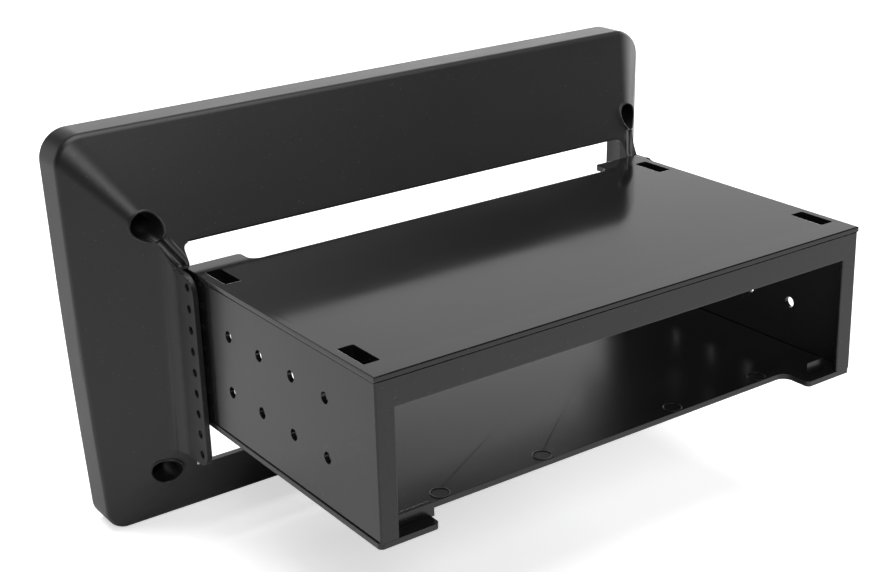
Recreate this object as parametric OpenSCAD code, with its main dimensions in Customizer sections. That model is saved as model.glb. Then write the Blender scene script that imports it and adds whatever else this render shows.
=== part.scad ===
// Rear shell of a large screen bezel with a single-bay box held between its two side flanges.
// Frame: x across the width, y from the screen side to the rear, z up from the rim's lower edge.
// The centre of the width and of the depth lies on the origin. All sizes are in millimetres.

/* [Show] */
// Which sub-part to draw

/* [Rim] */
// Outer width of the rim at its upper edge
rim_w = 234.2; // [228:0.1:244]
// Outer height of the rim
rim_h = 135.6; // [130:0.1:142]
// How far each side of the rim leans inwards from top to bottom
rim_lean = 4.3; // [0:0.1:6]
// How far each side of the rim bows outwards at mid-height
rim_bow = 0.8; // [0:0.1:1.4]
// Depth of the straight band round the rim
rim_band = 12.2; // [8:0.1:16]
// Wall thickness of the band
rim_t = 3.0; // [2:0.1:4]
// Corner radius at the upper corners
rim_r_top = 9.5; // [6:0.1:14]
// Corner radius at the lower corners
rim_r_low = 7.0; // [5:0.1:14]
// Radius of the soft edge between the band and the sloping panels
rim_soft_r = 3.0; // [1:0.1:4]

/* [Funnel] */
// Depth of the four sloping panels
funnel_d = 27.3; // [24:0.1:30]
// Distance of the side panels' inner end inside the flange's inner face
funnel_tuck = 2.2; // [0:0.1:4]
// Height of the upper panel's inner end over the top of the box
funnel_over = 0.4; // [0:0.1:3]
// Depth of the lower panel's inner end under the box
funnel_under = 10.4; // [8:0.1:14]
// Ridge radius at the inner end of the upper corners
ridge_r_top = 2.0; // [1:0.1:8]
// Ridge radius at the inner end of the lower corners
ridge_r_low = 10.0; // [3:0.1:18]
// Wall thickness of the panels
shell_t = 2.3; // [1.8:0.1:3]

/* [Mouth] */
// Distance of the window's sides inside the flange's inner face
mouth_step = 3.5; // [2:0.1:6]
// Height of the window over the top of the box
mouth_over = 5.4; // [4:0.1:8]
// Depth of the window under the bottom of the box
mouth_under = 22.6; // [16:0.1:24]
// Corner radius of the window
mouth_r = 1.8; // [1:0.1:4]
// Radius of the soft edge along the upper side of the window
mouth_soft_r = 0.5; // [0.3:0.1:1.2]

/* [Flanges] */
// Thickness of each side flange
flange_t = 1.7; // [1.4:0.1:2.4]
// Gap between each flange and the upper edges of the box
flange_gap = 1.0; // [0.9:0.1:1.5]
// Length of the box that each flange covers
flange_lap = 9.7; // [8:0.1:14]
// Depth of the flange's upper edge under the top of the box
flange_down = 0.6; // [0:0.1:2]
// Depth of the flange under the bottom of the box
flange_under = 14.2; // [12:0.1:18]
// Corner radius at the upper rear corner of the flange
flange_r_top = 6.0; // [3:0.1:9]
// Corner radius at the lower rear corner of the flange
flange_r_low = 5.0; // [3:0.1:9]
// Radius of the soft fold between a side panel and its flange
fold_r = 14.0; // [4:0.5:16]
// Number of holes in each flange
flange_holes = 9; // [3:1:9]
// Spacing of the holes in a flange
flange_pitch = 7.0; // [6:0.1:7]
// Diameter of the holes in a flange
flange_hole_d = 2.7; // [2:0.1:3.5]
// Distance of the first hole below the top of the box
flange_hole_down = 4.2; // [4:0.1:8]
// Distance of the holes from the rear edge of the flange
flange_hole_in = 3.5; // [3:0.1:6]

/* [Screw pockets] */
// Distance of each pocket's axis outside the flange's outer face
pocket_out = 3.5; // [2.5:0.1:5]
// Height of the upper pockets over the top of the box
pocket_over = 11.3; // [10:0.1:14]
// Depth of the lower pockets under the bottom of the box
pocket_under = 22.8; // [21:0.1:25]
// Radius of a pocket
pocket_r = 4.4; // [4:0.1:5]
// Width of the raised edge round a pocket
pocket_lip_w = 0.6; // [0.4:0.1:1.2]
// Height of the raised edge round a pocket
pocket_lip_h = 0.4; // [0.2:0.1:1]
// Wall thickness of the tube round a pocket
pocket_wall = 1.8; // [1.4:0.1:2.2]
// Thickness of the seat at the front end of a pocket
pocket_seat = 2.5; // [2:0.1:4]
// Radius of the screw hole through that seat
screw_r = 2.0; // [1.5:0.1:2.5]
// Radius of the groove that runs down the upper ridge from each upper pocket
groove_r = 1.5; // [1:0.1:2]

/* [Box] */
// Outer width of the box
box_w = 182; // [180:0.5:184]
// Outer height of the box
box_h = 50; // [48:0.1:53]
// Length of the box, front to rear
box_l = 104.6; // [95:0.1:115]
// Height of the box's underside over the rim's lower edge
box_lift = 47; // [44:0.1:50]
// Distance from the front of the box to the front of the rim
box_reach = 40.9; // [40:0.1:42]
// Thickness of the side walls and the rear frame
wall_t = 1.5; // [1.2:0.1:3]
// How far the side walls stand back from the edges of the plates
wall_back = 0.3; // [0.1:0.1:0.6]
// How far each side wall leans outwards from top to bottom
wall_lean = 0.3; // [0:0.1:0.6]
// Width of each rear post
post_w = 6.3; // [5:0.1:9]
// Height of the rear upper band, with the top plate
band_h = 10.1; // [8:0.1:14]
// Rounding of the box's upright rear corners
box_corner_r = 0.6; // [0.3:0.1:1.2]

/* [Side holes] */
// Diameter of the fixing holes in the side walls
side_hole_d = 3.6; // [3:0.1:5]
// Spacing of the fixing holes both ways
side_pitch = 18; // [16:0.5:18]
// Number of fixing holes in a row
side_cols = 4; // [2:1:4]
// Distance of the last hole from the rear of the box
side_hole_rear = 25.5; // [20:0.1:30]
// Distance of the upper row below the top of the box
side_hole_down = 14.9; // [10:0.1:18]

/* [Plates] */
// Thickness of the top and bottom plates
plate_t = 1.8; // [1.5:0.1:2.2]
// Width of the top plate's corner tongues
tongue_w = 19; // [17:0.1:22]
// Width of the bottom plate's corner feet
foot_w = 19.4; // [17:0.1:22]
// Depth of the recess between the top plate's tongues
top_recess = 7.6; // [5:0.1:10]
// Depth of the recess between the bottom plate's feet
foot_recess = 10.3; // [6:0.1:14]
// Radius of the outer corners of a tongue
tongue_r = 1.5; // [1:0.1:3]
// Radius of the inner corners of the recess
recess_r = 3.5; // [2:0.1:5]
// Length of each window in the top plate
slot_l = 13.2; // [10:0.1:16]
// Width of each window in the top plate
slot_w = 5.2; // [4:0.1:7]
// Distance of the windows from the plate's side edge
slot_edge = 2.5; // [2:0.1:4]
// Distance of the windows from the plate's ends
slot_end = 8.4; // [6:0.1:12]
// Corner radius of the windows
slot_r = 0.6; // [0.3:0.1:1.2]
// Depth of the closed catch pocket behind each window, from the plate's upper face
catch_deep = 5.0; // [4:0.1:8]
// Wall thickness of the catch pockets
catch_wall = 1.0; // [0.8:0.1:1.5]

/* [Locating ribs] */
// Height of the ribs on the feet
rib_h = 4.2; // [2:0.1:5]
// Thickness of the ribs
rib_t = 1.4; // [1:0.1:2]
// Distance of the ribs from the rear edge of the feet
rib_in = 4.0; // [3:0.1:6]
// Width of the rib on the +x foot
rib_w_plus = 12.4; // [6:0.1:12.5]
// Width of the rib on the other foot
rib_w_minus = 8.0; // [6:0.1:12.5]
// Gap between a rib and its post
rib_gap = 1.3; // [0.5:0.1:3]

/* [Ejector marks] */
// Diameter of the round marks on the floor
mark_d = 5.6; // [4:0.1:8]
// Width of the ring that outlines each mark
mark_ring = 0.35; // [0.2:0.05:0.6]
// Depth of the ring
mark_deep = 0.15; // [0.1:0.05:0.3]
// Distance of the marks from the rear edge of the feet
mark_in = 13.5; // [12:0.5:20]
// Distance of the inner marks from the middle of the width
mark_x = 25.8; // [20:0.1:30]
// Spacing from the inner marks to the outer ones
mark_pitch = 36.6; // [30:0.1:38]

/* [Hidden] */
$fn = 64;
// Small overlap that keeps joined solids from only touching
joined = 0.02;
// Reach of a cutter beyond the surface it cuts
past = 1;
// Facets in each rounded corner of the rim and the funnel
corner_steps = 12;
// Straight pieces that each bowed side is drawn in
side_steps = 8;

depth = box_l + box_reach;
rear_y = depth / 2;
front_y = -depth / 2;
box_front_y = rear_y - box_l;
rim_back_y = front_y + rim_band;
funnel_end_y = rim_back_y + funnel_d;

box_bottom_z = box_lift;
box_top_z = box_lift + box_h;
mouth_top_z = box_top_z + mouth_over;
mouth_low_z = box_bottom_z - mouth_under;
flange_top_z = box_top_z - flange_down;
flange_low_z = box_bottom_z - flange_under;
flange_in_x = box_w / 2 + flange_gap;
flange_out_x = flange_in_x + flange_t;
flange_rear_y = box_front_y + flange_lap;
mouth_half_w = flange_in_x - mouth_step;
pocket_x = flange_out_x + pocket_out;

body_low_z = box_bottom_z + plate_t;
body_top_z = box_top_z - plate_t;
body_half_w = box_w / 2 - wall_back;
// The bottom plate is wider than the top one by the lean of the walls that stand on it
floor_w = box_w + 2 * wall_lean;

// The rim's half width at a height, and the angle under level that its side faces there
function from_middle(z) = 2 * z / rim_h - 1;
function rim_half(z) = rim_w / 2 - rim_lean * (1 - z / rim_h) + rim_bow * (1 - pow(from_middle(z), 2));
function side_a(z) = atan((rim_lean - 4 * rim_bow * from_middle(z)) / rim_h);

// Slope of the side panels: how far y grows for each millimetre that x closes in
funnel_top_z = box_top_z + funnel_over;
side_slope = funnel_d / (rim_half(funnel_top_z) - flange_in_x + funnel_tuck);
// Where the outer face of a side panel reaches the outer face of its flange
function fold_y(z) = rim_back_y + side_slope * (rim_half(z) - flange_out_x);

// Slope of the upper panel: how far y grows for each millimetre down
top_slope = funnel_d / (rim_h - funnel_top_z);
lip_y = rim_back_y + top_slope * (rim_h - mouth_top_z);

// Points of a round corner about a centre, from one direction to another
function arc(centre, r, from, to) =
    [for (i = [0 : corner_steps]) let (a = from + (to - from) * i / corner_steps)
        centre + r * [cos(a), sin(a)]];

// Rounded outline whose sides follow the rim's, drawn in x and z
// top_z, low_z: heights of the level edges; half_w: half width at top_z; ra, rb: upper and lower radii
module side_outline(top_z, low_z, half_w, ra, rb) {
    function side_x(z) = half_w - rim_half(top_z) + rim_half(z);
    // angles at which the corners meet the side, and the heights of those points
    a = side_a(top_z - ra);
    b = side_a(low_z + rb);
    za = top_z - ra - ra * sin(a);
    zb = low_z + rb - rb * sin(b);
    xa = side_x(za) - ra * cos(a);
    xb = side_x(zb) - rb * cos(b);
    side = [for (i = [1 : side_steps - 1]) let (z = zb + (za - zb) * i / side_steps) [side_x(z), z]];
    polygon(concat(
        side,
        arc([xa, top_z - ra], ra, -a, 90),
        arc([-xa, top_z - ra], ra, 90, 180 + a),
        [for (i = [len(side) - 1 : -1 : 0]) [-side[i][0], side[i][1]]],
        arc([-xb, low_z + rb], rb, 180 + b, 270),
        arc([xb, low_z + rb], rb, -90, -b)
    ));
}

// Prism of a 2D outline in x and z, from y0 to y1
module along_y(y0, y1) {
    translate([0, y1, 0]) rotate([90, 0, 0]) linear_extrude(y1 - y0) children();
}

// Prism of a 2D outline in y and z, from x0 to x1
module along_x(x0, x1) {
    translate([x0, 0, 0]) rotate([90, 0, 90]) linear_extrude(x1 - x0) children();
}

// The rim's outline, drawn in by side_in at the sides and by level_in above and below
module rim_outline(side_in, level_in) {
    side_outline(rim_h - level_in, level_in, rim_half(rim_h - level_in) - side_in,
        max(rim_r_top - side_in, 1), max(rim_r_low - side_in, 1));
}

// The outline at the inner end of the funnel, drawn in by inset
module funnel_end_outline(inset) {
    end_top = funnel_top_z - inset;
    end_low = box_bottom_z - funnel_under + inset;
    side_outline(end_top, end_low, flange_in_x - funnel_tuck - inset,
        max(ridge_r_top - inset / 2, 0.6), max(ridge_r_low - inset / 2, 0.6));
}

// Angles that the side panels and the upper panel make with the band
side_turn = atan(1 / side_slope);
level_turn = atan(1 / top_slope);
// Distance from the band's theoretical rear edge to where each soft edge begins
side_run = rim_soft_r * tan(side_turn / 2);
level_run = rim_soft_r * tan(level_turn / 2);
// Where the straight band ends and the soft edge above and below begins
soft_y = rim_back_y - level_run;
// Thickness of the slices that a smooth form is stretched over, and their count round the soft edge
slice = 0.01;
soft_steps = 4;
// How far the soft fold is drawn above the flange before the upper panel's plane ends it
fold_rise = 8;
// How far the fold's end stays under that plane
fold_step = 1.5;

// How far a soft edge has come inwards at a distance behind its beginning
function soft_in(back) = back <= 0 ? 0 : rim_soft_r - sqrt(pow(rim_soft_r, 2) - pow(back, 2));

// Outer form of the funnel with its rounded ridges, grown to the rear by grow
module funnel_outer(grow = 0) {
    hull() {
        for (i = [0 : soft_steps]) {
            back = rim_soft_r * sin(level_turn) * i / soft_steps;
            slice_y = soft_y + back + grow;
            along_y(slice_y - slice, slice_y)
                rim_outline(soft_in(back - level_run + side_run), soft_in(back));
        }
        along_y(funnel_end_y - slice + grow, funnel_end_y + grow) funnel_end_outline(0);
    }
}

// Hollow of the funnel, one shell thickness inside its outer form
module funnel_inner() {
    hull() {
        along_y(rim_back_y - rim_soft_r, rim_back_y - shell_t / 4) rim_outline(rim_t, rim_t);
        along_y(funnel_end_y - slice, funnel_end_y) funnel_end_outline(shell_t * 1.35);
    }
}

// Runs its child at each screw pocket, with the pocket's axis along y
module at_pockets() {
    for (s = [-1, 1]) {
        translate([s * pocket_x, 0, box_top_z + pocket_over]) children();
        translate([s * pocket_x, 0, box_bottom_z - pocket_under]) children();
    }
}

// Round bar along y
module bar_y(r, y0, y1) {
    translate([0, y1, 0]) rotate([90, 0, 0]) cylinder(r = r, h = y1 - y0);
}

// Round bar along x
module bar_x(r, x0, x1) {
    translate([x0, 0, 0]) rotate([0, 90, 0]) cylinder(r = r, h = x1 - x0);
}

// Side view of a flange with its two rounded rear corners, in y and z
module flange_outline(y0) {
    polygon([
        [y0, flange_low_z], [flange_rear_y - flange_r_low, flange_low_z],
        [flange_rear_y, flange_low_z + flange_r_low],
        [flange_rear_y, flange_top_z - flange_r_top],
        [flange_rear_y - flange_r_top, flange_top_z], [y0, flange_top_z]
    ]);
    translate([flange_rear_y - flange_r_low, flange_low_z + flange_r_low]) circle(r = flange_r_low);
    translate([flange_rear_y - flange_r_top, flange_top_z - flange_r_top]) circle(r = flange_r_top);
}

// Flange on the +x side with the step that the front of the box stops against
module flange() {
    along_x(flange_in_x, flange_out_x) flange_outline(fold_y(flange_low_z) - joined);
    translate([mouth_half_w, funnel_end_y - shell_t, flange_low_z])
        cube([flange_in_x - mouth_half_w + joined, box_front_y - funnel_end_y + shell_t,
            flange_top_z - flange_low_z]);
}

// Soft fold on the +x side, filling the valley between the side panel and the flange
// It ends above where it meets the plane of the upper panel
module fold() {
    fold_low = fold_y(flange_low_z);
    fold_top = fold_y(flange_top_z);
    tilt = atan((fold_top - fold_low) / (flange_top_z - flange_low_z));
    // turn of the surface at the fold, and the distance from the fold to where the arc begins
    turn = atan(1 / side_slope);
    run = fold_r * tan(turn / 2);
    root = flange_out_x - mouth_half_w + joined;
    reach = (flange_top_z - flange_low_z) / cos(tilt) + fold_rise;
    difference() {
        translate([flange_out_x, fold_low, flange_low_z])
            rotate([-tilt, 0, 0])
            linear_extrude(reach)
            difference() {
                polygon([
                    [0, run], [-root, run], [-root, 0], [sin(turn) * run - 1, -cos(turn) * run - 1],
                    [sin(turn) * run, -cos(turn) * run]
                ]);
                translate([fold_r, run]) circle(r = fold_r);
            }
        translate([0, -fold_step, 0])
            along_x(mouth_half_w - past, flange_out_x + fold_r)
            polygon([
                [rim_back_y, rim_h], [funnel_end_y, funnel_top_z],
                [funnel_end_y + fold_rise, funnel_top_z - fold_rise / top_slope],
                [funnel_end_y + fold_rise, rim_h]
            ]);
    }
}

// Groove along the upper ridge on the +x side, from the pocket to the flange's upper corner
module ridge_groove() {
    start_z = box_top_z + pocket_over;
    // the groove's end dips a little under the flange's upper edge
    end_z = flange_top_z + groove_r * 0.7;
    // the ridge's sharp line at a height, where the upper and the side panel would meet
    function ridge_y(z) = rim_back_y + top_slope * (rim_h - z);
    function ridge_x(z) = rim_half(z) - (ridge_y(z) - rim_back_y) / side_slope;
    start_p = [ridge_x(start_z), ridge_y(start_z), start_z];
    end_p = [ridge_x(end_z) + groove_r, ridge_y(end_z) - groove_r / 2, end_z];
    way = end_p - start_p;
    translate(start_p)
        rotate([0, acos(way[2] / norm(way)), atan2(way[1], way[0])])
        cylinder(r = groove_r, h = norm(way));
    translate(end_p) sphere(r = groove_r);
}

// Rounds the sharp upper edge of the window, as a cutter along x
module mouth_soft_edge() {
    // the panel leans back by this angle from level
    lean_back = atan(1 / top_slope);
    // the edge lies where the panel meets the window's level upper side
    run = mouth_soft_r / tan(lean_back / 2);
    along_x(-mouth_half_w + mouth_r, mouth_half_w - mouth_r)
        difference() {
            polygon([
                [lip_y + past, mouth_top_z - past], [lip_y + past, mouth_top_z + past * 2],
                [lip_y - cos(lean_back) * run, mouth_top_z + sin(lean_back) * run],
                [lip_y - run, mouth_top_z], [lip_y - run, mouth_top_z - past]
            ]);
            translate([lip_y - run, mouth_top_z + mouth_soft_r]) circle(r = mouth_soft_r);
        }
}

module bezel_shell() {
    color([0.09, 0.09, 0.095])
    difference() {
        union() {
            // straight band round the screen opening
            difference() {
                along_y(front_y, soft_y) rim_outline(0, 0);
                along_y(front_y - past, rim_back_y) rim_outline(rim_t, rim_t);
            }
            // sloping panels
            difference() {
                funnel_outer();
                funnel_inner();
            }
            // tubes round the screw pockets, with their raised edges
            intersection() {
                funnel_outer();
                at_pockets() bar_y(pocket_r + pocket_wall, rim_back_y - shell_t / 4, funnel_end_y);
            }
            intersection() {
                funnel_outer(pocket_lip_h);
                at_pockets() bar_y(pocket_r + pocket_lip_w, rim_back_y, funnel_end_y);
            }
            for (s = [0, 1]) mirror([s, 0, 0]) {
                flange();
                fold();
            }
        }
        // window for the box
        along_y(rim_back_y, flange_rear_y + past)
            translate([-mouth_half_w + mouth_r, mouth_low_z + mouth_r])
            union() {
                w = 2 * mouth_half_w - 2 * mouth_r;
                h = mouth_top_z - mouth_low_z - 2 * mouth_r;
                translate([0, -mouth_r]) square([w, h + 2 * mouth_r]);
                translate([-mouth_r, 0]) square([w + 2 * mouth_r, h]);
                for (x = [0, w], z = [0, h]) translate([x, z]) circle(r = mouth_r);
            }
        mouth_soft_edge();
        // room for the box between the flanges
        translate([-flange_in_x, box_front_y, flange_low_z - past])
            cube([2 * flange_in_x, flange_lap + past, flange_top_z - flange_low_z + 3 * past]);
        // pockets and their screw holes
        at_pockets() {
            bar_y(pocket_r, rim_back_y - shell_t / 4 + pocket_seat, funnel_end_y + past);
            bar_y(screw_r, rim_back_y - past * 2, funnel_end_y);
        }
        for (s = [0, 1]) mirror([s, 0, 0]) ridge_groove();
        // rows of holes in the flanges
        for (i = [0 : flange_holes - 1])
            translate([0, flange_rear_y - flange_hole_in, box_top_z - flange_hole_down - i * flange_pitch])
            for (x = [-flange_out_x - past, flange_in_x - past])
            bar_x(flange_hole_d / 2, x, x + flange_t + 2 * past);
    }
}

// Section of the box body across x: side faces that lean outwards from body_top_z down
// inset: how far the section is drawn in at the sides; over: how far it is carried on above and below
module body_section(inset, over = 0) {
    low_x = body_half_w + wall_lean * (1 + over / (body_top_z - body_low_z)) - inset;
    top_x = body_half_w - wall_lean * over / (body_top_z - body_low_z) - inset;
    polygon([
        [-low_x, body_low_z - over], [low_x, body_low_z - over],
        [top_x, body_top_z + over], [-top_x, body_top_z + over]
    ]);
}

// Cutter that rounds the upright rear corner on the +x side, leaning as the wall does
module rear_corner_cut() {
    lean = atan(wall_lean / (body_top_z - body_low_z));
    corner_x = body_half_w + wall_lean - box_corner_r;
    translate([corner_x, rear_y - box_corner_r, body_low_z])
        rotate([0, -lean, 0])
        translate([0, 0, -past])
        linear_extrude(body_top_z - body_low_z + 2 * past)
        difference() {
            square(box_corner_r + past);
            circle(r = box_corner_r);
        }
}

// Side walls and rear frame of the box, one moulding
module box_body() {
    color([0.11, 0.11, 0.115])
    difference() {
        along_y(box_front_y, rear_y) body_section(0);
        // hollow, open to the front, above and below
        along_y(box_front_y - past, rear_y - wall_t) body_section(wall_t, past);
        // rear window, open at the bottom
        intersection() {
            along_y(rear_y - wall_t - past, rear_y + past) body_section(post_w - wall_back);
            translate([-box_w / 2, rear_y - wall_t - past, body_low_z])
                cube([box_w, wall_t + 2 * past, box_top_z - band_h - body_low_z]);
        }
        for (s = [0, 1]) mirror([s, 0, 0]) rear_corner_cut();
        // fixing holes, two rows in each wall
        for (i = [0 : side_cols - 1], row = [0, 1])
            translate([0, rear_y - side_hole_rear - i * side_pitch,
                box_top_z - side_hole_down - row * side_pitch])
            for (x = [-flange_in_x, body_half_w - wall_t - past])
            bar_x(side_hole_d / 2, x, x + flange_in_x - body_half_w + wall_t + past);
    }
}

// Plate outline in x and y: a front edge at y = 0, and tongues of one width towards +y
// plate_w: width of the plate; tongue: width of each tongue; recess: depth between the tongues
module plate_outline(plate_w, tongue, recess) {
    tongue_x = plate_w / 2 - tongue;
    root_y = box_l - recess;
    difference() {
        union() {
            translate([-plate_w / 2, 0]) square([plate_w, root_y]);
            for (s = [0, 1]) mirror([s, 0]) {
                translate([tongue_x + tongue_r, root_y - joined])
                    square([tongue - 2 * tongue_r, recess + joined]);
                translate([tongue_x, root_y - joined]) square([tongue, recess - tongue_r + joined]);
                for (x = [tongue_x + tongue_r, plate_w / 2 - tongue_r])
                    translate([x, box_l - tongue_r]) circle(r = tongue_r);
                // web that the inner corner's round is cut from
                translate([tongue_x - recess_r, root_y - joined]) square([recess_r + joined, recess_r + joined]);
            }
        }
        for (s = [-1, 1]) translate([s * (tongue_x - recess_r), root_y + recess_r]) circle(r = recess_r);
    }
}

// Runs its child at the lower left corner of each window in the top plate
module at_windows() {
    for (s = [0, 1]) mirror([s, 0, 0])
        for (y = [rear_y - slot_end - slot_l, box_front_y + slot_end])
            translate([box_w / 2 - slot_edge - slot_w, y, 0]) children();
}

// Outline of a window with its rounded corners
module window_outline() {
    translate([slot_r, 0]) square([slot_w - 2 * slot_r, slot_l]);
    translate([0, slot_r]) square([slot_w, slot_l - 2 * slot_r]);
    for (a = [slot_r, slot_w - slot_r], b = [slot_r, slot_l - slot_r]) translate([a, b]) circle(r = slot_r);
}

module box_top_plate() {
    // room between a catch pocket and the side wall
    catch_gap = 0.2;
    catch_side = body_half_w - wall_t - catch_gap - (box_w / 2 - slot_edge - slot_w);
    color([0.1, 0.1, 0.105])
    difference() {
        union() {
            translate([0, rear_y, box_top_z - plate_t]) linear_extrude(plate_t)
                rotate(180) plate_outline(box_w, tongue_w, top_recess);
            // catch pockets, closed below
            at_windows() translate([-catch_wall, -catch_wall, box_top_z - catch_deep - catch_wall])
                cube([catch_side + catch_wall, slot_l + 2 * catch_wall, catch_deep + catch_wall - plate_t + joined]);
        }
        at_windows() translate([0, 0, box_top_z - catch_deep]) linear_extrude(catch_deep + past) window_outline();
    }
}

module box_bottom_plate() {
    floor_z = body_low_z;
    rib_x = box_w / 2 - post_w - rib_gap;
    color([0.1, 0.1, 0.105])
    union() {
        difference() {
            translate([0, box_front_y, box_bottom_z]) linear_extrude(plate_t)
                plate_outline(floor_w, foot_w, foot_recess);
            // rings left on the floor by the ejector pins
            for (s = [-1, 1], x = [mark_x, mark_x + mark_pitch])
                translate([s * x, rear_y - mark_in, floor_z - mark_deep])
                difference() {
                    cylinder(d = mark_d, h = mark_deep + past);
                    translate([0, 0, -past]) cylinder(d = mark_d - 2 * mark_ring, h = mark_deep + 3 * past);
                }
        }
        // ribs on the feet that locate the rear posts
        translate([rib_x - rib_w_plus, rear_y - rib_in - rib_t, floor_z - joined])
            cube([rib_w_plus, rib_t, rib_h + joined]);
        translate([-rib_x, rear_y - rib_in - rib_t, floor_z - joined])
            cube([rib_w_minus, rib_t, rib_h + joined]);
    }
}

bezel_shell();
box_body();
box_top_plate();
box_bottom_plate();
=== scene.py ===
"""Rear shell of a large screen surround with its single-bay box: finishes, small details and studio."""
import math

import bmesh
import bpy
from bpy.props import FloatProperty, FloatVectorProperty, PointerProperty
from mathutils import Matrix, Vector, noise
from mathutils.bvhtree import BVHTree


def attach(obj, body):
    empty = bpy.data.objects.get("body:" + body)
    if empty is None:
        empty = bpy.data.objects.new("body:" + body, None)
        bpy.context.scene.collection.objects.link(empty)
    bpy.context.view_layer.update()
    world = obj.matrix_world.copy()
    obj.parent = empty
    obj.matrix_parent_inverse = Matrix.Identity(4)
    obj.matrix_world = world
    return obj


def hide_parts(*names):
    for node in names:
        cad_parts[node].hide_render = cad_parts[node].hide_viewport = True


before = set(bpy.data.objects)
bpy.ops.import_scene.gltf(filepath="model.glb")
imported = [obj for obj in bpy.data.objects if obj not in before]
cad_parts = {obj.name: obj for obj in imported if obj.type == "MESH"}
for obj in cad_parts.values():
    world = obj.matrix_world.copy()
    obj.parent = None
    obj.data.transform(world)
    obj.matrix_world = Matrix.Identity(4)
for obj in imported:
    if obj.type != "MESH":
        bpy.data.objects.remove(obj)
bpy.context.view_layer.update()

bl_info = {
    "name": "Screen surround with single-bay box",
    "version": (1, 0, 0),
    "blender": (4, 5, 0),
    "location": "3D View > Sidebar > Surround",
    "description": "Dresses the moulded surround and its box, and sets the studio round them",
    "category": "Object",
}

MM = 0.001

# Screw pockets: distance from the middle, heights, radius and the width of the lip
POCKET_X = 97.2 * MM
POCKET_HEIGHTS = (24.2 * MM, 108.3 * MM)
POCKET_RADIUS = 4.4 * MM
LIP_WIDTH = 0.6 * MM
# A place behind the whole object, from which its rear surfaces are looked for
BEHIND_Y = 0.2

# Seam under the top plate's rear edge, and the stretches where bits of plastic fill it
SEAM_Y = 72.44 * MM
SEAM_Z = 95.15 * MM
SEAM_RUNS = ((66 * MM, 32 * MM), (-41 * MM, -68 * MM), (-79 * MM, -87 * MM))
SEAM_STEP = 0.4 * MM

# Rings left by the ejector pins on the floor of the box
RINGS_X = (-62.4 * MM, -25.8 * MM, 25.8 * MM, 62.4 * MM)
RINGS_Y = 59.25 * MM
FLOOR_Z = 48.8 * MM
RING_RADIUS = 2.85 * MM

# Rounded upper corner of a flange: distance from the middle, centre in y and z, and radius.
# The burr starts and ends at these angles, in degrees from +y towards +z.
BURR_X = 93.6 * MM
BURR_Y = -28.15 * MM
BURR_Z = 90.4 * MM
BURR_RADIUS = 5.9 * MM
BURR_START = 105
BURR_END = 20
BURR_STEPS = 18

# Points round a ring, and corners of a bead's round section: beads that lie on rings, uneven ones
LIP_POINTS = 72
RING_POINTS = 48
RING_SIDES = 8
BIT_SIDES = 6
# Unevenness of a bead: waves per metre, swing of its thickness and thinness of its ends
BIT_WAVES = 1300
BIT_SWING = 1.6
BIT_END = 0.3

# Joining of a node's loose triangles: corners this close are one, faces this level are one
SAME_CORNER = 0.002 * MM
LEVEL_ANGLE = math.radians(0.5)
# Edges that turn more than this stay sharp in the shading
SHELL_SHARP = math.radians(32)
BOX_SHARP = math.radians(35)
# Sharp edges longer than this get a small round of their own
LONG_EDGE = 14 * MM

# Textures of the plastic: noise waves per metre
WAVE_SCALE = 35.0
DRIFT_SCALE = 14.0
SPECK_SCALE = 1700.0
CLOUD_SCALE = 22.0
STREAK_SCALES = (40.0, 400.0, 400.0)
RUB_SCALE = 260.0
# Noise levels between which a speck of dust goes from none to full
SPECK_START, SPECK_FULL = 0.79, 0.86
# Likeness of the rounded and the plain normal at which an edge starts to be worn, and is fully so
WEAR_START, WEAR_FULL = 0.99, 0.8
WEAR_SAMPLES = 6
# Paler tone of the plastic, from its own colour
PALE_GAIN, PALE_LIFT = 1.8, 0.01

# CAD nodes of the box, the pieces that stand for them and the looks they wear
BOX_PIECES = (
    ("box_body", "box_walls", "wall_look"),
    ("box_top_plate", "top_moulding", "top_look"),
    ("box_bottom_plate", "bottom_moulding", "bottom_look"),
)
# Looks: setting, title in the panel and the values that differ from the defaults
BOX_FINISH = {"grain_strength": 0.04, "clouds": 0.08, "streaks": 0.02, "waviness": 1.5, "edge_shade": 0.1 * MM}
LOOKS = (
    ("bezel_look", "Shell plastic", {}),
    ("wall_look", "Box walls", {**BOX_FINISH, "roughness": 0.16, "edge_round": 0.5 * MM}),
    ("top_look", "Top moulding", {**BOX_FINISH, "roughness": 0.1, "edge_round": 0.3 * MM}),
    ("bottom_look", "Bottom moulding", {**BOX_FINISH, "roughness": 0.22, "edge_round": 0.3 * MM}),
)

# Half the side of the studio's floor
FLOOR_REACH = 6.0
# Lamps: name, place, aimed at, width, height, watts
LAMPS = (
    ("front_low", (1.1, -1.5, 0.45), (0.0, 0.0, 0.05), 1.2, 0.8, 2.73),
    ("overhead", (0.0, 0.0, 1.5), (0.0, 0.0, 0.05), 1.4, 1.4, 20.4),
    ("right_side", (-1.8, -0.2, 0.6), (0.0, 0.0, 0.07), 1.4, 1.0, 15.54),
    ("wall_low", (-1.3, -1.8, 0.27), (0.0, 0.0, 0.15), 3.6, 0.5, 22.0),
    ("wall_mid", (-1.5, -2.1, 0.75), (0.0, 0.0, 0.07), 3.6, 1.3, 12.6),
    ("camera_side", (0.6, 1.2, 1.05), (0.05, 0.0, 0.07), 0.5, 0.5, 6.5),
)
# Camera: place and directions that line up with the object's straight edges, and the image's width
CAMERA_PLACE = (0.2850, 0.38314, 0.2619)
CAMERA_RIGHT = (-0.812511, 0.582306, -0.027297)
CAMERA_DOWN = (0.230143, 0.277400, -0.932783)
CAMERA_AHEAD = (-0.535593, -0.764179, -0.359404)
IMAGE_WIDTH = 893
SENSOR_WIDTH = 36.0


# Shared steps for meshes

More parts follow.
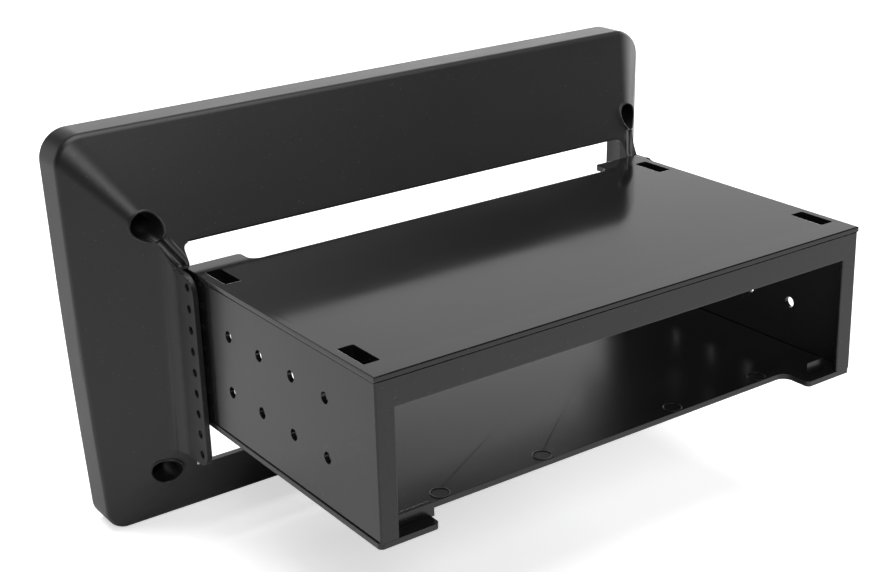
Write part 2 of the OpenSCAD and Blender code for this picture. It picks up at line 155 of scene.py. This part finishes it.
def merged_copy(node, name):
    """A new object with the node's mesh, its loose triangles joined into flat areas of one surface."""
    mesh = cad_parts[node].data.copy()
    mesh.name = name
    mesh.materials.clear()
    shape = bmesh.new()
    shape.from_mesh(mesh)
    bmesh.ops.remove_doubles(shape, verts=shape.verts, dist=SAME_CORNER)
    bmesh.ops.dissolve_limit(shape, angle_limit=LEVEL_ANGLE, use_dissolve_boundaries=False,
                             verts=shape.verts, edges=shape.edges)
    shape.to_mesh(mesh)
    shape.free()
    piece = bpy.data.objects.new(name, mesh)
    bpy.context.scene.collection.objects.link(piece)
    return piece


def soften_edges(piece, width, shortest, sharp):
    """Small rounds along the long edges that turn by more than the sharp angle."""
    shape = bmesh.new()
    shape.from_mesh(piece.data)
    edges = [edge for edge in shape.edges
             if len(edge.link_faces) == 2 and edge.calc_length() > shortest and edge.calc_face_angle() > sharp]
    bmesh.ops.bevel(shape, geom=edges, offset=width, offset_type="OFFSET", segments=2, profile=0.5,
                    affect="EDGES", clamp_overlap=False, material=-1)
    # the rounds leave a few faces without area where they meet
    bmesh.ops.remove_doubles(shape, verts=shape.verts, dist=SAME_CORNER)
    bmesh.ops.recalc_face_normals(shape, faces=shape.faces)
    shape.to_mesh(piece.data)
    shape.free()


def smooth_by_angle(piece, sharp):
    """Smooth shading that keeps the edges that turn by more than the sharp angle."""
    piece.data.shade_smooth()
    piece.data.set_sharp_from_angle(angle=sharp)
    even = piece.modifiers.new("Even normals", "WEIGHTED_NORMAL")
    even.keep_sharp = True
    even.weight = 100


def stands_for(piece, node):
    """Puts the piece in the place of a CAD node."""
    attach(piece, "root")
    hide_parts(node)


def circle_points(centre, radius, first, second, count):
    """Points of a circle in the plane of two directions."""
    turns = (2 * math.pi * i / count for i in range(count))
    return [centre + radius * (math.cos(turn) * first + math.sin(turn) * second) for turn in turns]


def laid_on(surface, path):
    """The path moved forward, along -y, on to the surface."""
    hits = [surface.ray_cast(point, Vector((0, -1, 0)))[0] for point in path]
    if None in hits:
        raise RuntimeError("The bead's ring misses the surface")
    return hits


def add_bead(shape, path, across, radii, sides, closed=False):
    """A round bead along a path: circles set square to it, each bridged to the next."""
    last = len(path) - 1
    loops = []
    for i, point in enumerate(path):
        if closed:
            ahead, behind = path[(i + 1) % len(path)], path[i - 1]
        else:
            ahead, behind = path[min(i + 1, last)], path[max(i - 1, 0)]
        along = (ahead - behind).normalized()
        side = along.cross(across[i]).normalized()
        turn = Matrix((side.cross(along), side, along)).transposed()
        circle = bmesh.ops.create_circle(shape, cap_ends=not closed and i in (0, last), segments=sides,
                                         radius=radii[i], matrix=Matrix.Translation(point) @ turn.to_4x4())
        loops.append(list(dict.fromkeys(edge for vert in circle["verts"] for edge in vert.link_edges)))
    pairs = list(zip(loops, loops[1:]))
    if closed:
        pairs.append((loops[-1], loops[0]))
    for first, second in pairs:
        bmesh.ops.bridge_loops(shape, edges=first + second)


def add_ring_bead(shape, path, radius):
    """An even bead along a closed ring."""
    middle = sum(path, Vector()) / len(path)
    add_bead(shape, path, [point - middle for point in path], [radius] * len(path), RING_SIDES, closed=True)


def add_uneven_bead(shape, path, across, thin, thick):
    """A bead that swells and thins along an open path, with fine ends."""
    radii = []
    for point in path:
        level = 0.5 + BIT_SWING * noise.noise(point * BIT_WAVES)
        radii.append(thin + (thick - thin) * max(0.0, min(1.0, level)))
    radii[0] = radii[-1] = thin * BIT_END
    add_bead(shape, path, [across] * len(path), radii, BIT_SIDES)


def finished_piece(shape, name, material):
    """Makes the shape an object with smooth faces that rides on the part."""
    bmesh.ops.recalc_face_normals(shape, faces=shape.faces)
    for face in shape.faces:
        face.smooth = True
    mesh = bpy.data.meshes.new(name)
    shape.to_mesh(mesh)
    shape.free()
    piece = bpy.data.objects.new(name, mesh)
    bpy.context.scene.collection.objects.link(piece)
    mesh.materials.append(bpy.data.materials[material])
    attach(piece, "root")


# Shared steps for materials

def effect_group(name, inputs, outputs):
    """An empty shader group with named sockets, and its two ends."""
    group = bpy.data.node_groups.new(name, "ShaderNodeTree")
    for label, kind, default in inputs:
        socket = group.interface.new_socket(name=label, in_out="INPUT", socket_type=kind)
        if default is not None:
            socket.default_value = default
    for label, kind in outputs:
        group.interface.new_socket(name=label, in_out="OUTPUT", socket_type=kind)
    return group, group.nodes.new("NodeGroupInput"), group.nodes.new("NodeGroupOutput")


def math_node(nodes, operation):
    """A node for one sum, such as an addition."""
    node = nodes.new("ShaderNodeMath")
    node.operation = operation
    return node


def noise_node(nodes, scale, detail, roughness=0.5):
    """A node of soft noise with its scale in waves per metre."""
    node = nodes.new("ShaderNodeTexNoise")
    node.inputs["Scale"].default_value = scale
    node.inputs["Detail"].default_value = detail
    node.inputs["Roughness"].default_value = roughness
    return node


def grain_group():
    """Fine moulded grain: a height for bump from two sizes of noise."""
    group, start, end = effect_group("Moulded grain", [
        ("Vector", "NodeSocketVector", None),
        ("Size", "NodeSocketFloat", 4000.0),
        ("Waviness", "NodeSocketFloat", 0.3),
    ], [("Height", "NodeSocketFloat")])
    nodes, link = group.nodes, group.links.new
    fine = noise_node(nodes, 1.0, 2.0)
    link(start.outputs["Size"], fine.inputs["Scale"])
    wave = noise_node(nodes, WAVE_SCALE, 1.0)
    for texture in (fine, wave):
        link(start.outputs["Vector"], texture.inputs["Vector"])
    swell = math_node(nodes, "MULTIPLY")
    link(wave.outputs["Fac"], swell.inputs[0])
    link(start.outputs["Waviness"], swell.inputs[1])
    both = math_node(nodes, "ADD")
    link(fine.outputs["Fac"], both.inputs[0])
    link(swell.outputs[0], both.inputs[1])
    link(both.outputs[0], end.inputs["Height"])
    return group


def drift_group():
    """Slow change of tone over a moulding, and fine specks of dust."""
    group, start, end = effect_group("Tone drift", [
        ("Vector", "NodeSocketVector", None),
        ("Colour", "NodeSocketColor", (0.03, 0.03, 0.03, 1.0)),
        ("Light colour", "NodeSocketColor", (0.05, 0.05, 0.05, 1.0)),
        ("Dust colour", "NodeSocketColor", (0.4, 0.4, 0.4, 1.0)),
        ("Drift", "NodeSocketFloat", 0.3),
        ("Dust", "NodeSocketFloat", 0.2),
    ], [("Colour", "NodeSocketColor")])
    nodes, link = group.nodes, group.links.new
    slow = noise_node(nodes, DRIFT_SCALE, 3.0, 0.6)
    specks = noise_node(nodes, SPECK_SCALE, 0.0)
    for texture in (slow, specks):
        link(start.outputs["Vector"], texture.inputs["Vector"])
    amount = math_node(nodes, "MULTIPLY")
    link(slow.outputs["Fac"], amount.inputs[0])
    link(start.outputs["Drift"], amount.inputs[1])
    only_specks = nodes.new("ShaderNodeMapRange")
    only_specks.inputs["From Min"].default_value = SPECK_START
    only_specks.inputs["From Max"].default_value = SPECK_FULL
    link(specks.outputs["Fac"], only_specks.inputs["Value"])
    dust = math_node(nodes, "MULTIPLY")
    link(only_specks.outputs["Result"], dust.inputs[0])
    link(start.outputs["Dust"], dust.inputs[1])
    last = start.outputs["Colour"]
    for share, label in ((amount, "Light colour"), (dust, "Dust colour")):
        mix = nodes.new("ShaderNodeMix")
        mix.data_type = "RGBA"
        link(share.outputs[0], mix.inputs["Factor"])
        link(last, mix.inputs["A"])
        link(start.outputs[label], mix.inputs["B"])
        last = mix.outputs["Result"]
    link(last, end.inputs["Colour"])
    return group


def handling_group():
    """Roughness with cloudy patches from the mould and wiped streaks."""
    group, start, end = effect_group("Handling marks", [
        ("Vector", "NodeSocketVector", None),
        ("Roughness", "NodeSocketFloat", 0.3),
        ("Clouds", "NodeSocketFloat", 0.06),
        ("Streaks", "NodeSocketFloat", 0.03),
    ], [("Roughness", "NodeSocketFloat")])
    nodes, link = group.nodes, group.links.new
    clouds = noise_node(nodes, CLOUD_SCALE, 4.0, 0.6)
    stretch = nodes.new("ShaderNodeMapping")
    stretch.inputs["Scale"].default_value = STREAK_SCALES
    streaks = noise_node(nodes, 1.0, 2.0)
    link(start.outputs["Vector"], clouds.inputs["Vector"])
    link(start.outputs["Vector"], stretch.inputs["Vector"])
    link(stretch.outputs["Vector"], streaks.inputs["Vector"])
    last = start.outputs["Roughness"]
    for texture, label in ((clouds, "Clouds"), (streaks, "Streaks")):
        # the noise goes both ways from its middle, so the mean roughness stays
        centred = math_node(nodes, "SUBTRACT")
        centred.inputs[1].default_value = 0.5
        link(texture.outputs["Fac"], centred.inputs[0])
        part = math_node(nodes, "MULTIPLY")
        link(centred.outputs[0], part.inputs[0])
        link(start.outputs[label], part.inputs[1])
        total = math_node(nodes, "ADD")
        link(last, total.inputs[0])
        link(part.outputs[0], total.inputs[1])
        last = total.outputs[0]
    link(last, end.inputs["Roughness"])
    return group


def edge_group():
    """Share of worn edge, from how far the surface turns within a small radius, and the rounded normal."""
    group, start, end = effect_group("Edge wear", [
        ("Vector", "NodeSocketVector", None),
        ("Amount", "NodeSocketFloat", 0.5),
        ("Radius", "NodeSocketFloat", 0.3 * MM),
    ], [("Wear", "NodeSocketFloat"), ("Normal", "NodeSocketVector")])
    nodes, link = group.nodes, group.links.new
    turned = nodes.new("ShaderNodeBevel")
    turned.samples = WEAR_SAMPLES
    link(start.outputs["Radius"], turned.inputs["Radius"])
    link(turned.outputs["Normal"], end.inputs["Normal"])
    surface = nodes.new("ShaderNodeNewGeometry")
    likeness = nodes.new("ShaderNodeVectorMath")
    likeness.operation = "DOT_PRODUCT"
    link(turned.outputs["Normal"], likeness.inputs[0])
    link(surface.outputs["Normal"], likeness.inputs[1])
    edge = nodes.new("ShaderNodeMapRange")
    edge.inputs["From Min"].default_value = WEAR_START
    edge.inputs["From Max"].default_value = WEAR_FULL
    link(likeness.outputs["Value"], edge.inputs["Value"])
    patchy = noise_node(nodes, RUB_SCALE, 3.0, 0.7)
    link(start.outputs["Vector"], patchy.inputs["Vector"])
    broken = math_node(nodes, "MULTIPLY")
    link(edge.outputs["Result"], broken.inputs[0])
    link(patchy.outputs["Fac"], broken.inputs[1])
    worn = math_node(nodes, "MULTIPLY")
    link(broken.outputs[0], worn.inputs[0])
    link(start.outputs["Amount"], worn.inputs[1])
    link(worn.outputs[0], end.inputs["Wear"])
    return group


def effect(tree, maker, label, position, **values):
    """Places the effect's group, built once, in a material and sets its numbers."""
    group = bpy.data.node_groups.get(label) or maker()
    node = tree.nodes.new("ShaderNodeGroup")
    node.node_tree = group
    node.label = label
    tree.links.new(position, node.inputs["Vector"])
    for name, value in values.items():
        node.inputs[name.replace("_", " ")].default_value = value
    return node


def moulded_plastic(name, look):
    """Black moulded plastic with grain, tone drift, handling marks and faintly worn edges."""
    material = bpy.data.materials.new(name)
    material.use_nodes = True
    tree = material.node_tree
    link = tree.links.new
    shader = tree.nodes["Principled BSDF"]
    position = tree.nodes.new("ShaderNodeTexCoord").outputs["Object"]
    dark = tuple(look.colour) + (1.0,)
    pale = tuple(min(1.0, PALE_GAIN * c + PALE_LIFT) for c in look.colour) + (1.0,)
    drift = effect(tree, drift_group, "Tone drift", position,
                   Colour=dark, Light_colour=pale, Drift=look.drift, Dust=look.dust)
    handling = effect(tree, handling_group, "Handling marks", position,
                      Roughness=look.roughness, Clouds=look.clouds, Streaks=look.streaks)
    grain = effect(tree, grain_group, "Moulded grain", position,
                   Size=1.0 / look.grain_size, Waviness=look.waviness)
    worn = effect(tree, edge_group, "Edge wear", position, Amount=look.edge_wear, Radius=look.edge_shade)
    paler = tree.nodes.new("ShaderNodeMix")
    paler.data_type = "RGBA"
    paler.inputs["B"].default_value = pale
    link(worn.outputs["Wear"], paler.inputs["Factor"])
    link(drift.outputs["Colour"], paler.inputs["A"])
    link(paler.outputs["Result"], shader.inputs["Base Color"])
    link(handling.outputs["Roughness"], shader.inputs["Roughness"])
    bump = tree.nodes.new("ShaderNodeBump")
    bump.inputs["Strength"].default_value = look.grain_strength
    bump.inputs["Distance"].default_value = look.grain_depth
    link(grain.outputs["Height"], bump.inputs["Height"])
    link(worn.outputs["Normal"], bump.inputs["Normal"])
    link(bump.outputs["Normal"], shader.inputs["Normal"])
    shader.inputs["IOR"].default_value = look.ior
    return material


# Floor, air, lamps and camera

def set_floor(settings):
    """A plain pale sheet under the object that shows white behind it and keeps its shadow."""
    shape = bmesh.new()
    bmesh.ops.create_grid(shape, x_segments=2, y_segments=2, size=FLOOR_REACH)
    mesh = bpy.data.meshes.new("studio_floor")
    shape.to_mesh(mesh)
    shape.free()
    floor = bpy.data.objects.new("studio_floor", mesh)
    bpy.context.scene.collection.objects.link(floor)
    material = bpy.data.materials.new("studio_white")
    material.use_nodes = True
    tree = material.node_tree
    shader = tree.nodes["Principled BSDF"]
    shader.inputs["Base Color"].default_value = tuple(settings.floor_colour) + (1.0,)
    shader.inputs["Roughness"].default_value = 0.9
    shader.inputs["Specular IOR Level"].default_value = 0.1
    # a lift for the camera alone, under which the shadow stays
    ray = tree.nodes.new("ShaderNodeLightPath")
    lift = math_node(tree.nodes, "MULTIPLY")
    lift.inputs[1].default_value = settings.floor_lift
    tree.links.new(ray.outputs["Is Camera Ray"], lift.inputs[0])
    tree.links.new(lift.outputs[0], shader.inputs["Emission Strength"])
    shader.inputs["Emission Color"].default_value = (1.0, 1.0, 1.0, 1.0)
    mesh.materials.append(material)


def set_air(settings):
    """White air for the camera, and a faint even light for the object."""
    world = bpy.data.worlds.new("studio_air")
    bpy.context.scene.world = world
    world.use_nodes = True
    tree = world.node_tree
    air = tree.nodes["Background"]
    air.inputs["Color"].default_value = (1.0, 1.0, 1.0, 1.0)
    ray = tree.nodes.new("ShaderNodeLightPath")
    level = tree.nodes.new("ShaderNodeMix")
    level.inputs["A"].default_value = settings.air_light
    level.inputs["B"].default_value = 1.0
    tree.links.new(ray.outputs["Is Camera Ray"], level.inputs["Factor"])
    tree.links.new(level.outputs["Result"], air.inputs["Strength"])


def set_lamps():
    """Soft rectangular lamps, each turned to its aim."""
    for name, place, target, width, height, watts in LAMPS:
        lamp = bpy.data.lights.new(name, "AREA")
        lamp.shape = "RECTANGLE"
        lamp.size = width
        lamp.size_y = height
        lamp.energy = watts
        holder = bpy.data.objects.new(name, lamp)
        aim = Vector(target) - Vector(place)
        holder.location = place
        holder.rotation_euler = aim.to_track_quat("-Z", "Y").to_euler()
        bpy.context.scene.collection.objects.link(holder)


def set_camera(settings):
    """A camera at the place and in the direction from which the object was seen."""
    lens = bpy.data.cameras.new("studio_camera")
    lens.lens = settings.lens
    lens.sensor_width = SENSOR_WIDTH
    lens.sensor_fit = "HORIZONTAL"
    # half a pixel, because the directions were found from the middles of pixels
    lens.shift_x = -0.5 / IMAGE_WIDTH
    lens.shift_y = 0.5 / IMAGE_WIDTH
    lens.clip_start = 0.01
    lens.clip_end = 50.0
    holder = bpy.data.objects.new("studio_camera", lens)
    right, down, ahead = (Vector(v) for v in (CAMERA_RIGHT, CAMERA_DOWN, CAMERA_AHEAD))
    turn = Matrix((right, -down, -ahead)).transposed()
    holder.matrix_world = Matrix.Translation(CAMERA_PLACE) @ turn.to_4x4()
    bpy.context.scene.collection.objects.link(holder)
    bpy.context.scene.camera = holder


# Settings that a user may change

class PlasticLook(bpy.types.PropertyGroup):
    """Finish of one moulded plastic."""
    colour: FloatVectorProperty(
        name="Colour", description="Plain colour of the plastic", subtype="COLOR",
        default=(0.007, 0.007, 0.0072), min=0.0, max=1.0)
    roughness: FloatProperty(
        name="Roughness", description="Mean roughness of the surface", subtype="FACTOR",
        default=0.4, min=0.05, max=1.0)
    ior: FloatProperty(name="IOR", description="Index of refraction", default=1.5, min=1.3, max=1.8)
    drift: FloatProperty(
        name="Drift", description="Slow change of tone over the moulding", subtype="FACTOR",
        default=0.25, min=0.0, max=1.0)
    dust: FloatProperty(
        name="Dust", description="Share of fine pale specks", subtype="FACTOR",
        default=0.12, min=0.0, max=1.0)
    clouds: FloatProperty(
        name="Clouds", description="Cloudy change of roughness", subtype="FACTOR",
        default=0.08, min=0.0, max=0.5)
    streaks: FloatProperty(
        name="Streaks", description="Streaky change of roughness", subtype="FACTOR",
        default=0.04, min=0.0, max=0.5)
    grain_size: FloatProperty(
        name="Grain size", description="Size of the moulded grain", subtype="DISTANCE",
        unit="LENGTH", default=0.35 * MM, min=0.05 * MM, max=3 * MM)
    grain_depth: FloatProperty(
        name="Grain depth", description="Height of the moulded grain", subtype="DISTANCE",
        unit="LENGTH", default=0.02 * MM, min=0.0, max=0.5 * MM)
    grain_strength: FloatProperty(
        name="Grain strength", description="Strength of the grain's bump", subtype="FACTOR",
        default=0.12, min=0.0, max=1.0)
    waviness: FloatProperty(
        name="Waviness", description="Slow waves against the fine grain", default=0.3, min=0.0, max=20.0)
    edge_wear: FloatProperty(
        name="Edge wear", description="Paleness of the rubbed edges", subtype="FACTOR",
        default=0.3, min=0.0, max=1.0)
    edge_shade: FloatProperty(
        name="Edge shade", description="Radius of the soft shading along every edge",
        subtype="DISTANCE", unit="LENGTH", default=0.3 * MM, min=0.0, max=1 * MM)
    edge_round: FloatProperty(
        name="Edge round", description="Width of the small rounds along the box's long edges",
        subtype="DISTANCE", unit="LENGTH", default=0.3 * MM, min=0.0, max=0.5 * MM)


class DetailSizes(bpy.types.PropertyGroup):
    """Thickness of the small beads, bits and burrs."""
    lip_bead: FloatProperty(
        name="Lip bead", description="Radius of the bead on the lips of the screw pockets",
        subtype="DISTANCE", unit="LENGTH", default=0.22 * MM, min=0.05 * MM, max=0.4 * MM)
    ring_bead: FloatProperty(
        name="Ring bead", description="Radius of the burr round the marks of the ejector pins",
        subtype="DISTANCE", unit="LENGTH", default=0.2 * MM, min=0.05 * MM, max=0.3 * MM)
    seam_thin: FloatProperty(
        name="Seam bits, thin", description="Least radius of the bits in the rear seam",
        subtype="DISTANCE", unit="LENGTH", default=0.14 * MM, min=0.02 * MM, max=0.3 * MM)
    seam_thick: FloatProperty(
        name="Seam bits, thick", description="Greatest radius of the bits in the rear seam",
        subtype="DISTANCE", unit="LENGTH", default=0.3 * MM, min=0.02 * MM, max=0.3 * MM)
    burr_thin: FloatProperty(
        name="Burr, thin", description="Least radius of the burrs on the flanges",
        subtype="DISTANCE", unit="LENGTH", default=0.1 * MM, min=0.02 * MM, max=0.5 * MM)
    burr_thick: FloatProperty(
        name="Burr, thick", description="Greatest radius of the burrs on the flanges",
        subtype="DISTANCE", unit="LENGTH", default=0.42 * MM, min=0.02 * MM, max=0.5 * MM)


class StudioSettings(bpy.types.PropertyGroup):
    """Floor, air and camera."""
    floor_colour: FloatVectorProperty(
        name="Floor", description="Colour of the floor and backdrop", subtype="COLOR",
        default=(0.95, 0.95, 0.95), min=0.0, max=1.0)
    floor_lift: FloatProperty(
        name="Floor lift", description="Extra white that only the camera sees on the floor",
        subtype="FACTOR", default=0.6, min=0.0, max=1.0)
    air_light: FloatProperty(
        name="Air light", description="Even light from all round", subtype="FACTOR",
        default=0.04, min=0.0, max=1.0)
    lens: FloatProperty(
        name="Lens", description="Focal length on a 36 mm wide frame", unit="CAMERA",
        default=63.95, min=10.0, max=300.0)


# One operator for each piece or group of like pieces, and one for the stage

class SURROUND_OT_dress_bezel(bpy.types.Operator):
    """Dress the flared shell in satin black plastic"""
    bl_idname = "surround.dress_bezel"
    bl_label = "Dress the flared shell"

    def execute(self, context):
        shell = merged_copy("bezel_shell", "flared_shell")
        smooth_by_angle(shell, SHELL_SHARP)
        shell.data.materials.append(moulded_plastic("satin_bezel_plastic", context.scene.bezel_look))
        stands_for(shell, "bezel_shell")
        return {"FINISHED"}


class SURROUND_OT_add_beads(bpy.types.Operator):
    """Lay a thin moulded bead on the lip of each screw pocket"""
    bl_idname = "surround.add_beads"
    bl_label = "Add the pocket beads"

    def execute(self, context):
        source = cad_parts["bezel_shell"]
        solid = bmesh.new()
        solid.from_mesh(source.data)
        solid.transform(source.matrix_world)
        surface = BVHTree.FromBMesh(solid)
        solid.free()
        shape = bmesh.new()
        for side in (-1, 1):
            for height in POCKET_HEIGHTS:
                ring = circle_points(Vector((side * POCKET_X, BEHIND_Y, height)), POCKET_RADIUS + LIP_WIDTH / 2,
                                     Vector((1, 0, 0)), Vector((0, 0, 1)), LIP_POINTS)
                add_ring_bead(shape, laid_on(surface, ring), context.scene.detail_sizes.lip_bead)
        finished_piece(shape, "pocket_beads", "satin_bezel_plastic")
        return {"FINISHED"}


class SURROUND_OT_dress_box(bpy.types.Operator):
    """Dress the three mouldings of the box in semi-gloss black plastic"""
    bl_idname = "surround.dress_box"
    bl_label = "Dress the box"

    def execute(self, context):
        for node, name, look_name in BOX_PIECES:
            look = getattr(context.scene, look_name)
            piece = merged_copy(node, name)
            soften_edges(piece, look.edge_round, LONG_EDGE, BOX_SHARP)
            smooth_by_angle(piece, BOX_SHARP)
            piece.data.materials.append(moulded_plastic("gloss_plastic_" + name, look))
            stands_for(piece, node)
        return {"FINISHED"}


class SURROUND_OT_add_seam_bits(bpy.types.Operator):
    """Fill stretches of the rear seam with uneven bits of plastic"""
    bl_idname = "surround.add_seam_bits"
    bl_label = "Add the seam bits"

    def execute(self, context):
        sizes = context.scene.detail_sizes
        shape = bmesh.new()
        for start, end in SEAM_RUNS:
            count = round(abs(end - start) / SEAM_STEP)
            path = [Vector((start + (end - start) * i / count, SEAM_Y, SEAM_Z)) for i in range(count + 1)]
            add_uneven_bead(shape, path, Vector((0, 0, 1)), sizes.seam_thin, sizes.seam_thick)
        finished_piece(shape, "seam_bits", "satin_bezel_plastic")
        return {"FINISHED"}


class SURROUND_OT_add_rings(bpy.types.Operator):
    """Outline the marks that the ejector pins left on the floor of the box"""
    bl_idname = "surround.add_rings"
    bl_label = "Add the ejector rings"

    def execute(self, context):
        shape = bmesh.new()
        for x in RINGS_X:
            ring = circle_points(Vector((x, RINGS_Y, FLOOR_Z)), RING_RADIUS,
                                 Vector((1, 0, 0)), Vector((0, 1, 0)), RING_POINTS)
            add_ring_bead(shape, ring, context.scene.detail_sizes.ring_bead)
        finished_piece(shape, "ejector_rings", "satin_bezel_plastic")
        return {"FINISHED"}


class SURROUND_OT_add_burrs(bpy.types.Operator):
    """Add the uneven burr on the upper rear corner of each flange"""
    bl_idname = "surround.add_burrs"
    bl_label = "Add the flange burrs"

    def execute(self, context):
        sizes = context.scene.detail_sizes
        turns = [math.radians(BURR_START + (BURR_END - BURR_START) * i / BURR_STEPS)
                 for i in range(BURR_STEPS + 1)]
        shape = bmesh.new()
        for side in (-1, 1):
            path = [Vector((side * BURR_X, BURR_Y + BURR_RADIUS * math.cos(turn),
                            BURR_Z + BURR_RADIUS * math.sin(turn))) for turn in turns]
            add_uneven_bead(shape, path, Vector((1, 0, 0)), sizes.burr_thin, sizes.burr_thick)
        finished_piece(shape, "flange_burrs", "gloss_plastic_box_walls")
        return {"FINISHED"}


class SURROUND_OT_set_studio(bpy.types.Operator):
    """Set the floor, the air, the lamps and the camera"""
    bl_idname = "surround.set_studio"
    bl_label = "Set the studio"

    def execute(self, context):
        settings = context.scene.studio
        set_floor(settings)
        set_air(settings)
        set_lamps()
        set_camera(settings)
        context.scene.view_settings.view_transform = "Standard"
        return {"FINISHED"}


class SURROUND_PT_panel(bpy.types.Panel):
    """Lists the looks, the sizes and the steps"""
    bl_idname = "SURROUND_PT_panel"
    bl_label = "Screen surround"
    bl_space_type = "VIEW_3D"
    bl_region_type = "UI"
    bl_category = "Surround"

    def draw(self, context):
        scene = context.scene
        groups = [(title, getattr(scene, look_name)) for look_name, title, _ in LOOKS]
        groups += [("Details", scene.detail_sizes), ("Studio", scene.studio)]
        for title, settings in groups:
            box = self.layout.box()
            box.label(text=title)
            for name in settings.bl_rna.properties.keys():
                if name not in ("rna_type", "name"):
                    box.prop(settings, name)
        for step in STEPS:
            self.layout.operator(step.bl_idname)


STEPS = (SURROUND_OT_dress_bezel, SURROUND_OT_add_beads, SURROUND_OT_dress_box, SURROUND_OT_add_seam_bits,
         SURROUND_OT_add_rings, SURROUND_OT_add_burrs, SURROUND_OT_set_studio)
CLASSES = (PlasticLook, DetailSizes, StudioSettings) + STEPS + (SURROUND_PT_panel,)


def register():
    for cls in CLASSES:
        bpy.utils.register_class(cls)
    for look_name, _, _ in LOOKS:
        setattr(bpy.types.Scene, look_name, PointerProperty(type=PlasticLook))
    bpy.types.Scene.detail_sizes = PointerProperty(type=DetailSizes)
    bpy.types.Scene.studio = PointerProperty(type=StudioSettings)


def unregister():
    for look_name, _, _ in LOOKS:
        delattr(bpy.types.Scene, look_name)
    del bpy.types.Scene.detail_sizes
    del bpy.types.Scene.studio
    for cls in reversed(CLASSES):
        bpy.utils.unregister_class(cls)


def main():
    register()
    for look_name, _, values in LOOKS:
        look = getattr(bpy.context.scene, look_name)
        for setting, value in values.items():
            setattr(look, setting, value)
    steps = bpy.ops.surround
    for step in (steps.dress_bezel, steps.add_beads, steps.dress_box, steps.add_seam_bits,
                 steps.add_rings, steps.add_burrs, steps.set_studio):
        if step() != {"FINISHED"}:
            raise RuntimeError(f"{step.idname()} didn't finish")


if __name__ == "__main__":
    main()
